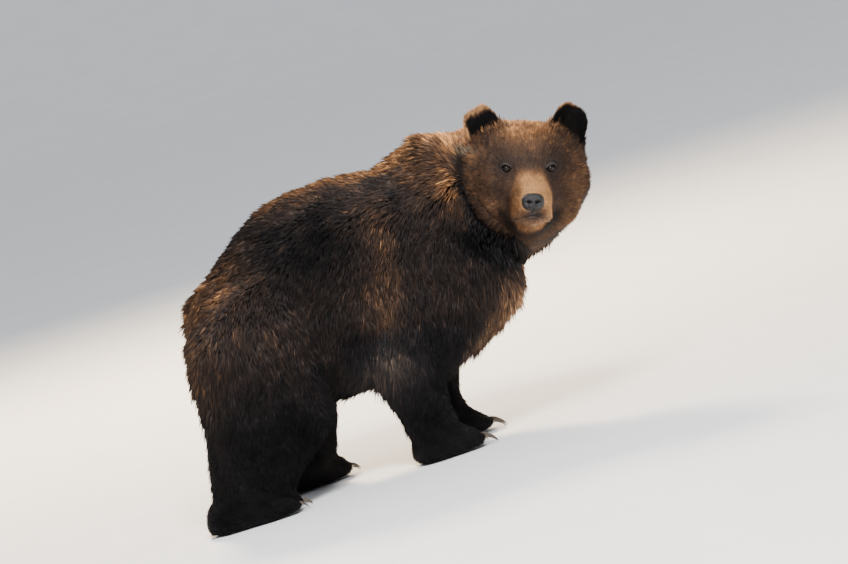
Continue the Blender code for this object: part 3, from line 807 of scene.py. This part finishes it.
FUR_GREY = (
    (0.0, (0.0015, 0.0015, 0.002)),
    (0.05, (0.008, 0.008, 0.0092)),
    (0.3, (0.034, 0.031, 0.033)),
    (0.6, (0.12, 0.098, 0.084)),
    (1.0, (0.42, 0.35, 0.29)),
)
FUR_WARM = (
    (0.0, (0.0015, 0.0013, 0.0013)),
    (0.05, (0.01, 0.0078, 0.007)),
    (0.3, (0.06, 0.032, 0.018)),
    (0.6, (0.23, 0.108, 0.048)),
    (1.0, (0.8, 0.42, 0.17)),
)
IRIS = (
    (0.3, (0.002, 0.002, 0.002)),
    (0.36, (0.018, 0.009, 0.005)),
    (0.62, (0.009, 0.005, 0.003)),
    (0.72, (0.003, 0.002, 0.002)),
    (1.0, (0.01, 0.006, 0.005)),
)
NOSE_MOTTLE = ((0.35, (0.004, 0.004, 0.0045)), (0.65, (0.026, 0.024, 0.025)))
NOSTRIL_SHADE = (0.003, 0.003, 0.003)
HORN = ((0.25, (0.02, 0.015, 0.012)), (0.55, (0.07, 0.05, 0.036)), (0.8, (0.17, 0.13, 0.09)))
HORN_STRETCH = (0.15, 1.0, 0.3)
FLOOR_PALE = ((0.3, (0.8, 0.81, 0.83)), (0.7, (0.83, 0.84, 0.86)))


def colour_fur(nodes, level, warm):
    """Colours the shader by a level from black to light, and by warmth from grey to brown."""
    grey, brown = nodes.ramp(level, FUR_GREY), nodes.ramp(level, FUR_WARM)
    nodes.shade("Base Color", nodes.mix(warm, grey, brown))


def fur_material():
    """Fur coloured by each tuft's tone and warmth, darker at its root and glossier where dark."""
    nodes = Nodes("fur")
    tone, warm, along = (nodes.attribute(name) for name in ("tone", "warm", "along"))
    grain = nodes.scaled(nodes.noise(260.0, 2.0, nodes.coordinates()), 0.08, -0.04)
    level = nodes.math("ADD", nodes.math("MULTIPLY", tone, nodes.scaled(along, 0.62, 0.5)), grain)
    colour_fur(nodes, level, warm)
    nodes.shade("Roughness", nodes.scaled(level, 0.25, 0.55))
    nodes.shade("Specular IOR Level", 0.08)
    return nodes.material


def skin_material():
    """The same colours as the coat, darker where the coat hides it, with short flat hair as bump."""
    nodes = Nodes("skin")
    tone, warm, bare = (nodes.attribute(name) for name in ("tone", "warm", "bare"))
    grain = nodes.noise(420.0, 3.0, nodes.coordinates())
    level = nodes.math("MULTIPLY", tone, nodes.scaled(bare, 0.55, 0.38))
    level = nodes.math("ADD", level, nodes.scaled(grain, 0.16, -0.08))
    colour_fur(nodes, level, warm)
    nodes.bump(grain, 0.5, 0.0012)
    nodes.shade("Roughness", 0.7)
    nodes.shade("Specular IOR Level", 0.25)
    return nodes.material


def eye_material():
    """A dark brown iris round a black pupil, under a wet surface."""
    nodes = Nodes("eye")
    streaks = nodes.noise(900.0, 3.0, nodes.coordinates())
    where = nodes.math("ADD", nodes.attribute("from_axis"), nodes.scaled(streaks, 0.1, -0.05))
    nodes.shade("Base Color", nodes.ramp(where, IRIS))
    nodes.shade("Roughness", nodes.scaled(streaks, 0.1, 0.02))
    nodes.shade("Specular IOR Level", 0.25)
    return nodes.material


def nose_material():
    """Pebbled dark grey skin, moist in patches, with painted shade: black inside the nostrils and darker in
    the groove.
    """
    nodes = Nodes("nose_skin")
    coordinates = nodes.coordinates()
    mottle = nodes.noise(95.0, 5.0, coordinates)
    colour = nodes.mix(nodes.attribute("hollow"), nodes.ramp(mottle, NOSE_MOTTLE), NOSTRIL_SHADE)
    nodes.shade("Base Color", colour)
    pebbles = nodes.add("ShaderNodeTexVoronoi", Scale=520.0, feature="DISTANCE_TO_EDGE")
    nodes.feed(coordinates, pebbles.inputs["Vector"])
    nodes.bump(pebbles.outputs["Distance"], 0.9, 0.0012)
    nodes.shade("Roughness", nodes.scaled(mottle, 0.4, 0.2))
    nodes.shade("Specular IOR Level", 0.28)
    return nodes.material


def claw_material():
    """Dark horn with paler streaks."""
    nodes = Nodes("claw")
    stretch = nodes.add("ShaderNodeMapping", Scale=HORN_STRETCH)
    nodes.feed(nodes.coordinates(), stretch.inputs["Vector"])
    streaks = nodes.noise(900.0, 3.0, stretch.outputs["Vector"])
    nodes.shade("Base Color", nodes.ramp(streaks, HORN))
    nodes.bump(streaks, 0.3, 0.0004)
    nodes.shade("Roughness", nodes.scaled(streaks, 0.3, 0.2))
    return nodes.material


def floor_material():
    """Matt, pale and faintly clouded."""
    nodes = Nodes("floor")
    nodes.shade("Base Color", nodes.ramp(nodes.noise(3.0, 2.0, nodes.coordinates()), FLOOR_PALE))
    nodes.shade("Roughness", 0.9)
    return nodes.material


# ---- the coat ----
def unwrap(obj):
    """Unwraps the skin's shape into a map named OFBake."""
    obj.data.uv_layers.new(name="OFBake")
    bpy.ops.object.select_all(action="DESELECT")
    obj.select_set(True)
    bpy.context.view_layer.objects.active = obj
    bpy.ops.object.mode_set(mode="EDIT")
    bpy.ops.mesh.select_all(action="SELECT")
    bpy.ops.uv.smart_project(angle_limit=math.radians(80), island_margin=0.002)
    bpy.ops.object.mode_set(mode="OBJECT")


def tuft_width(length):
    return 0.0007 + 0.027 * length


def sample_roots(mesh, length):
    """Spreads roots over the skin, closer together where tufts are small."""
    mesh.calc_loop_triangles()
    corners = read(mesh.loop_triangles, "vertices", 3, np.int32)
    loops = read(mesh.loop_triangles, "loops", 3, np.int32)
    first, second, third = points_of(mesh)[corners].transpose(1, 0, 2)
    area = lengths(np.cross(second - first, third - first)) / 2
    density = 1 / (0.5 * length * tuft_width(length))
    cover = np.interp(length, (0.012, 0.03), (0.45, 1.0))
    weight = area * (density * cover)[corners].mean(axis=1)
    total = np.cumsum(weight)
    steps = (np.arange(TUFTS) + RANDOM.random(TUFTS)) / TUFTS * total[-1]
    chosen = np.minimum(np.searchsorted(total, steps), len(area) - 1)
    a, b = RANDOM.random((2, TUFTS))
    flip = a + b > 1
    a[flip], b[flip] = 1 - a[flip], 1 - b[flip]
    return corners[chosen], loops[chosen], np.stack([1 - a - b, a, b], axis=1)


def blend_of(values, corners, share):
    """Values between those of three corners."""
    if values.ndim == 1:
        return (values[corners] * share).sum(axis=1)
    return (values[corners] * share[:, :, None]).sum(axis=1)


def clear_of_features(root, normal):
    """Where tufts may grow: not on the soles, between the lids, in the mouth or on the nose."""
    height, head = root[:, 2], head_place(root)
    on_sole = (height < 0.004) | ((height < 0.012) & (normal[:, 2] < -0.6))
    on_line, crease = mouth_line(head)
    by_mouth = (on_line <= 0.0015) | (crease <= 0.0015) | (lips(head) >= 0.5)
    nose = nose_middle()
    ahead = head[:, 0] > nose[0] - 0.012
    on_nose = ahead & ((((head - nose)[:, 1:] / NOSE_BARE) ** 2).sum(axis=1) < 1)
    return ~on_sole & ~by_mouth & ~on_nose & (from_eyes(root) > EYE_RADIUS + LID_BARE)


def clump_leads(roots):
    """Picks a leader near each root, so that neighbours lean together."""
    leaders = RANDOM.choice(len(roots), len(roots) // CLUMP, replace=False)
    tree = KDTree(len(leaders))
    for i, leader in enumerate(leaders):
        tree.insert(roots[leader], i)
    tree.balance()
    return leaders[[tree.find(root)[1] for root in roots]]


def grow_tufts(mesh, owner, depth, flow):
    """Every tuft's places, width, colours and part of the body."""
    length = depth * 2.3 + 0.005
    corners, loops, share = sample_roots(mesh, length)
    root = blend_of(points_of(mesh), corners, share)
    normal = unit(blend_of(normals_of(mesh), corners, share))
    way = flat_on(blend_of(flow, corners, share), normal)
    deep, long = blend_of(depth, corners, share), blend_of(length, corners, share)
    uv = blend_of(read(mesh.uv_layers["OFBake"].data, "uv", 2), loops, share)
    part = owner[corners[:, 0]]
    keep = clear_of_features(root, normal)
    root, normal, way, deep, long, uv, part = (v[keep] for v in (root, normal, way, deep, long, uv, part))
    tone, warm = markings(root, part, normal)
    loose = np.maximum(looseness(root, part, normal), ear_zones(root, part, normal)[1])

    count = len(root)
    leader = clump_leads(root)
    together = (part == part[leader]) & (lengths(root - root[leader]) < 0.03)
    together &= (normal * normal[leader]).sum(axis=1) > 0.5
    short = np.interp(from_eyes(root), (0.018, 0.034), (0.45, 1.0))
    deep, long = deep * short, long * short
    # Tufts swing together in waves, and each a little on its own.
    swing = 0.3 * noise(root, 0.05, 3) + 0.22 * noise(root, 0.018, 4)
    swing += 0.12 * RANDOM.standard_normal(count)
    way = unit(turned(way, np.cross(normal, way), swing))
    long = long * np.clip(1 + 0.2 * RANDOM.standard_normal(count) + 0.12 * noise(root, 0.02, 5), 0.5, 1.6)
    rise = np.clip(1 + 0.22 * RANDOM.standard_normal(count) + 0.2 * noise(root, 0.035, 6), 0.45, 1.55)
    free = loose * np.clip(0.3 + 0.5 * RANDOM.standard_normal(count), 0, 1.3)
    long *= 1 + (0.35 + 0.45 * on(part, *LEGS)) * free
    # Each rises off the skin, bends over at its waist and leans to its leader's tip.
    stand = np.clip(deep * rise / long, 0.05, 0.7)
    first = np.arcsin(np.clip(1.55 * stand + 0.08 * free, 0, 0.95))
    second = np.arcsin(np.clip(0.85 * stand + 0.17 * free, 0, 0.9))
    foot = root - normal * np.minimum(0.003, deep * 0.4)[:, None]
    waist = foot + turned(way, normal, first) * (long * WAIST)[:, None]
    tip = waist + turned(way, normal, second) * (long * (1 - WAIST))[:, None]
    lean = together * np.interp(long, (0.02, 0.045), (0.1, 0.38))
    tip += (tip[leader] - tip) * lean[:, None]
    for places, lowest in ((foot, LOWEST_FOOT), (waist, LOWEST_TIP), (tip, LOWEST_TIP)):
        places[:, 2] = np.maximum(places[:, 2], lowest)
    width = tuft_width(long) * RANDOM.uniform(0.75, 1.25, count)
    vary = 0.22 * RANDOM.standard_normal(count) + 0.16 * RANDOM.standard_normal(count)[leader]
    vary *= np.interp(long, (0.01, 0.04), (0.35, 1.0))
    tone = np.clip(tone * np.exp(vary), 0, 1)
    warm = np.clip(warm + 0.4 * vary, 0, 1)
    tufts = dict(root=root, foot=foot, waist=waist, tip=tip, uv=uv, tone=tone, warm=warm)
    tufts["reach"] = np.cross(normal, way) * (width / 2)[:, None]
    tufts["contrast"] = np.interp(long, (0.01, 0.045), (0.3, 1.0))
    return tufts, part


def tuft_mesh(name, tufts):
    """Solid tufts: each a thin leaf of four triangles, bent and widest at its waist."""
    waist, reach = tufts["waist"], tufts["reach"]
    points = np.stack([tufts["foot"], waist - reach, waist + reach, tufts["tip"]], axis=1)
    faces = np.array([[0, 1, 2], [3, 2, 1], [0, 3, 1], [0, 2, 3]])
    count = len(waist)
    corners = ((np.arange(count) * 4)[:, None, None] + faces).ravel()
    mesh = bpy.data.meshes.new(name)
    mesh.vertices.add(count * 4)
    mesh.vertices.foreach_set("co", points.astype(np.float32).ravel())
    mesh.loops.add(len(corners))
    mesh.loops.foreach_set("vertex_index", corners.astype(np.int32))
    mesh.polygons.add(count * 4)
    mesh.polygons.foreach_set("loop_start", np.arange(0, len(corners), 3, dtype=np.int32))
    mesh.polygons.foreach_set("use_smooth", np.ones(count * 4, bool))
    mesh.update(calc_edges=True)
    along = 1 - (1 - np.array([0.0, WAIST, WAIST, 1.0])) * tufts["contrast"][:, None]
    add_attribute(mesh, "along", along.ravel())
    for key in ("tone", "warm"):
        add_attribute(mesh, key, np.repeat(tufts[key], 4))
    patch = np.array([[0.0, -0.5], [-0.5, 0.0], [0.5, 0.0], [0.0, 0.5]]) * PATCH
    places = np.clip((tufts["uv"][:, None, :] + patch).reshape(-1, 2), 0.0, 1.0)
    layer = mesh.uv_layers.new(name="OFBake")
    layer.data.foreach_set("uv", places[corners].astype(np.float32).ravel())
    return mesh


def make_coat(skin, owner, depth, flow, material):
    """The coat, in pieces by part of the body and along it."""
    tufts, part = grow_tufts(skin.data, owner, depth, flow)
    for index, name in enumerate(FLESH):
        mine = np.nonzero(part == index)[0]
        mine = mine[np.argsort(tufts["root"][mine, 0], kind="stable")]
        slot = "coat_dark" if name in LEGS else "coat_brown"
        pieces = max(1, math.ceil(len(mine) / PIECE_TUFTS))
        for number, some in enumerate(np.array_split(mine, pieces)):
            label = f"coat_{name}_{number + 1}" if pieces > 1 else f"coat_{name}"
            mesh = tuft_mesh(label, {key: values[some] for key, values in tufts.items()})
            mesh_object(label, mesh, material, slot)


# ---- eyes, nose and claws ----
def make_eye(side, material):
    """An eyeball with the cornea's bulge, looking out of the head."""
    bm = bmesh.new()
    bmesh.ops.create_uvsphere(bm, u_segments=40, v_segments=28, radius=EYE_RADIUS)
    turn = Matrix(eye_frame(side).tolist()) @ Matrix.Rotation(math.radians(90), 3, "Y")
    from_axis = []
    for vertex in bm.verts:
        angle = vertex.co.angle(Vector((0, 0, 1)))
        bulge = CORNEA_BULGE * math.cos(min(angle / CORNEA, 1.0) * math.pi / 2)
        vertex.co = turn @ (vertex.co * (1 + bulge)) + Vector(EYES[side])
        from_axis.append(angle / EYE_EDGE)
    mesh = mesh_from(bm, "eyeball_" + side)
    add_attribute(mesh, "from_axis", np.clip(from_axis, 0, 1))
    mesh.shade_smooth()
    mesh_object("eyeball_" + side, mesh, material, "eye", ["eye_" + side])


def make_nose(material):
    """The nose pad, with comma-shaped nostrils and a groove down its middle."""
    polar = np.linspace(0.02, math.pi - 0.02, NOSE_ROWS)[:, None]
    around = (np.arange(NOSE_COLUMNS) * 2 * math.pi / NOSE_COLUMNS)[None, :]
    up = np.cos(polar) * np.ones_like(around)
    wide = np.interp(up, (-1, -0.5, 0.1, 0.6, 1), (0.45, 0.7, 1.0, 1.0, 0.7))
    left = np.sin(polar) * np.sin(around) * wide
    ahead = np.sin(polar) * np.cos(around)
    square = 1 / sum(np.abs(part) ** NOSE_SQUARENESS for part in (left, up, ahead)) ** (1 / NOSE_SQUARENESS)
    local = np.stack([ahead, left, up], axis=-1) * np.minimum(square, 1.35)[..., None]
    local = local.reshape(-1, 3) * NOSE_SIZE
    in_front = local[:, 0] > 0
    hollow = np.zeros(len(local))
    for sign in (-1, 1):
        spot = blob(local[:, 1:], (sign * 0.0108, 0.002), (0.0038, 0.0036))
        spot += 0.8 * blob(local[:, 1:], (sign * 0.016, 0.004), (0.0042, 0.0018))
        hollow += in_front * spot
    groove = in_front * bell(local[:, 1], 0, 0.0013) * ease(0.004, -0.008, local[:, 2])
    local[:, 0] -= NOSTRIL_DEPTH * np.clip(hollow, 0, 1) + NOSE_GROOVE * groove
    grid = np.arange(NOSE_ROWS * NOSE_COLUMNS).reshape(NOSE_ROWS, NOSE_COLUMNS)
    beside = np.roll(grid, -1, axis=1)
    sides = np.stack([grid[:-1], grid[1:], beside[1:], beside[:-1]], axis=-1).reshape(-1, 4)
    ends = [grid[0].tolist(), grid[-1, ::-1].tolist()]
    mesh = bpy.data.meshes.new("nose_pad")
    points = from_head(local + (nose_middle() + np.array(NOSE_SHIFT)))
    mesh.from_pydata(points.tolist(), [], sides.tolist() + ends)
    add_attribute(mesh, "hollow", np.clip(hollow * 1.2 + groove * 0.4, 0, 1))
    mesh.shade_smooth()
    mesh_object("nose_pad", mesh, material, "nose_skin", ["nose"])


def make_claws(material):
    """The CAD's claws, rounded off."""
    for name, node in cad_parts.items():
        if not name.startswith("claw"):
            continue
        bm = bmesh.new()
        bm.from_mesh(node.data)
        bmesh.ops.remove_doubles(bm, verts=bm.verts, dist=CLAW_WELD)
        draft = mesh_object("horn", mesh_from(bm, "horn"))
        round_off = draft.modifiers.new("round", "SUBSURF")
        round_off.levels = round_off.render_levels = 2
        smooth = evaluated(draft)
        bpy.data.objects.remove(draft)
        smooth.materials.clear()
        smooth.shade_smooth()
        mesh_object(name + "_horn", smooth, material, "claw", [name])


# ---- floor, light and camera ----
def make_floor():
    """A pale floor that curves up far away, so that no horizon shows."""
    bm = bmesh.new()
    turn = 2 * math.pi / FLOOR_SIDES
    rings = []
    for step in range(FLOOR_STEPS + 1):
        bend = FLOOR_BEND * step / FLOOR_STEPS
        out = FLOOR_RADIUS + FLOOR_CURVE * math.sin(bend)
        up = FLOOR_CURVE * (1 - math.cos(bend))
        ring = [(out * math.cos(i * turn), out * math.sin(i * turn), up) for i in range(FLOOR_SIDES)]
        rings.append([bm.verts.new(place) for place in ring])
    bm.faces.new(rings[0])
    for inner, outer in zip(rings, rings[1:]):
        for i in range(FLOOR_SIDES):
            j = (i + 1) % FLOOR_SIDES
            bm.faces.new((inner[i], outer[i], outer[j], inner[j])).smooth = True
    mesh_object("floor", mesh_from(bm, "floor"), floor_material())


def view_axes():
    """The level view's ways: right, up and back to the camera."""
    level = math.cos(VIEW_RISE)
    back = Vector((math.sin(VIEW_TURN) * level, -math.cos(VIEW_TURN) * level, math.sin(VIEW_RISE)))
    right = Vector((math.cos(VIEW_TURN), math.sin(VIEW_TURN), 0.0))
    return right, back.cross(right), back


def make_camera():
    """A long lens far off, rolled over, so that the bear seems to walk uphill."""
    right, up, back = view_axes()
    aim = Vector(AIM) + right * AIM_SHIFT[0] + up * AIM_SHIFT[1]
    rolled_right = right * math.cos(VIEW_ROLL) - up * math.sin(VIEW_ROLL)
    rolled_up = right * math.sin(VIEW_ROLL) + up * math.cos(VIEW_ROLL)
    turn = Matrix((rolled_right, rolled_up, back)).transposed().to_4x4()
    camera = bpy.data.cameras.new("camera")
    camera.sensor_width = 36.0
    camera.lens = camera.sensor_width * VIEW_DISTANCE / VIEW_WIDTH
    camera.clip_end = 200.0
    obj = bpy.data.objects.new("camera", camera)
    obj.matrix_world = Matrix.Translation(aim + back * VIEW_DISTANCE) @ turn
    bpy.context.scene.collection.objects.link(obj)
    bpy.context.scene.camera = obj


def make_light():
    """A pale sky, and area lights that point at the bear."""
    right, up, back = view_axes()
    world = bpy.data.worlds.new("world")
    world.use_nodes = True
    background = world.node_tree.nodes["Background"]
    background.inputs["Color"].default_value = (*SKY, 1.0)
    background.inputs["Strength"].default_value = SKY_STRENGTH
    bpy.context.scene.world = world
    for name, ((rightwards, upwards, backwards), distance, size, power, colour) in LIGHTS.items():
        way = (back * backwards + up * upwards + right * rightwards).normalized()
        light = bpy.data.lights.new(name, "AREA")
        light.size = size
        light.energy = power
        light.color = colour
        obj = bpy.data.objects.new(name, light)
        obj.location = Vector(AIM) + way * distance
        obj.rotation_euler = way.to_track_quat("Z", "Y").to_euler()
        bpy.context.scene.collection.objects.link(obj)


def paint_skin(mesh, owner, depth):
    """Gives the skin the coat's markings, with dark lids and a dark mouth."""
    points = points_of(mesh)
    tone, warm = markings(points, owner, normals_of(mesh))
    on_line, crease = mouth_line(head_place(points))
    dark = np.maximum(ease(0.004, 0.0015, on_line), ease(0.003, 0.001, crease))
    for side, eye in EYES.items():
        local = (points - eye) @ eye_frame(side)
        near = lengths(local) < EYE_REACH
        edge = lid_edge(local, side)
        lid = near * ease(2.6, 2.1, edge)
        tone, warm = mixed(tone, 0.2, lid), mixed(warm, 0.35, lid)
        dark = np.maximum(dark, near * ease(1.22, 1.08, edge))
    add_attribute(mesh, "tone", tone * (1 - 0.9 * dark))
    add_attribute(mesh, "warm", warm * (1 - 0.7 * dark))
    add_attribute(mesh, "bare", ease(0.016, 0.004, depth))


def main():
    skin_mesh, owner, depth, flow = make_skin()
    skin = mesh_object("skin", skin_mesh, skin_material(), "coat_brown", FLESH)
    unwrap(skin)
    paint_skin(skin.data, owner, depth)
    make_coat(skin, owner, depth, flow, fur_material())
    eye = eye_material()
    for side in EYES:
        make_eye(side, eye)
    make_nose(nose_material())
    make_claws(claw_material())
    make_floor()
    make_camera()
    make_light()


main()
